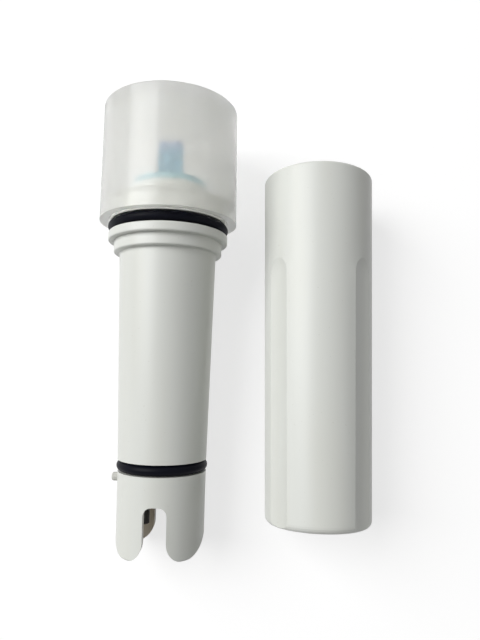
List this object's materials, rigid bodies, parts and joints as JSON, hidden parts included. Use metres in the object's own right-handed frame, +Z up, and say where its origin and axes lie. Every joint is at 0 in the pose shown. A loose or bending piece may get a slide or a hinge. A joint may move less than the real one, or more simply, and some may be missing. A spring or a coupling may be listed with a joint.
{
  "type": "ph electrode",
  "caption": "Plug-in pH electrode with collar, tapered barrel, seals and forked guard, a frosted cap over its contact end, and its tapered storage cap lying beside it.",
  "frame": {"origin": "on the surface under the middle of the box that holds the electrode and its storage cap", "axes": "+Z up from the surface; +Y from the guard end towards the contact end; +X from the electrode towards the storage cap"},
  "size_m": [0.0576, 0.0918, 0.0303],
  "materials": {
    "housing_plastic": "satin moulded",
    "seal_rubber": "satin",
    "holder_resin": "cast",
    "sensor_glass": "clear",
    "buffer_liquid": "clear liquid",
    "bung_rubber": "matt",
    "silver_wire": null,
    "lead_red": "wire insulation",
    "lead_blue": "wire insulation",
    "lead_yellow": "wire insulation",
    "wick_fibre": "porous fibre",
    "gel": null,
    "sheath_plastic": "satin",
    "bead_resin": "glazed bead",
    "potting_resin": "cast resin",
    "board_edge": "laminate",
    "tongue_blue": "lacquered laminate",
    "gilt": "gold plated",
    "frosted_plastic": "frosted, lets light through",
    "storage_plastic": "satin moulded",
    "sponge": "damp open-cell foam"
  },
  "bodies": {
    "electrode": {"electrode_housing": "housing_plastic", "upper_o_ring": "seal_rubber", "lower_o_ring": "seal_rubber", "sensor_holder": "holder_resin", "glass_sensor": "sensor_glass", "inner_buffer": "buffer_liquid", "glass_bung": "bung_rubber", "sensing_wire": "silver_wire", "sensor_lead": "lead_red", "reference_wire": "silver_wire", "reference_lead": "lead_blue", "reference_wick": "wick_fibre", "reference_gel": "gel", "temperature_sheath": "sheath_plastic", "thermistor_bead": "bead_resin", "thermistor_leads": "lead_yellow", "potting_plug": "potting_resin", "contact_board": "board_edge", "contact_tongue": "tongue_blue", "contact_pads": "gilt", "storage_cap": "storage_plastic", "storage_sponge": "sponge"},
    "connector_cap": {"connector_cap": "frosted_plastic"}
  },
  "joints": [
    {"name": "connector_cap_slide", "type": "slide", "parent": "electrode", "child": "connector_cap", "axis": [0, 0.9958, 0.0914], "range_m": [0, 0.03]}
  ]
}
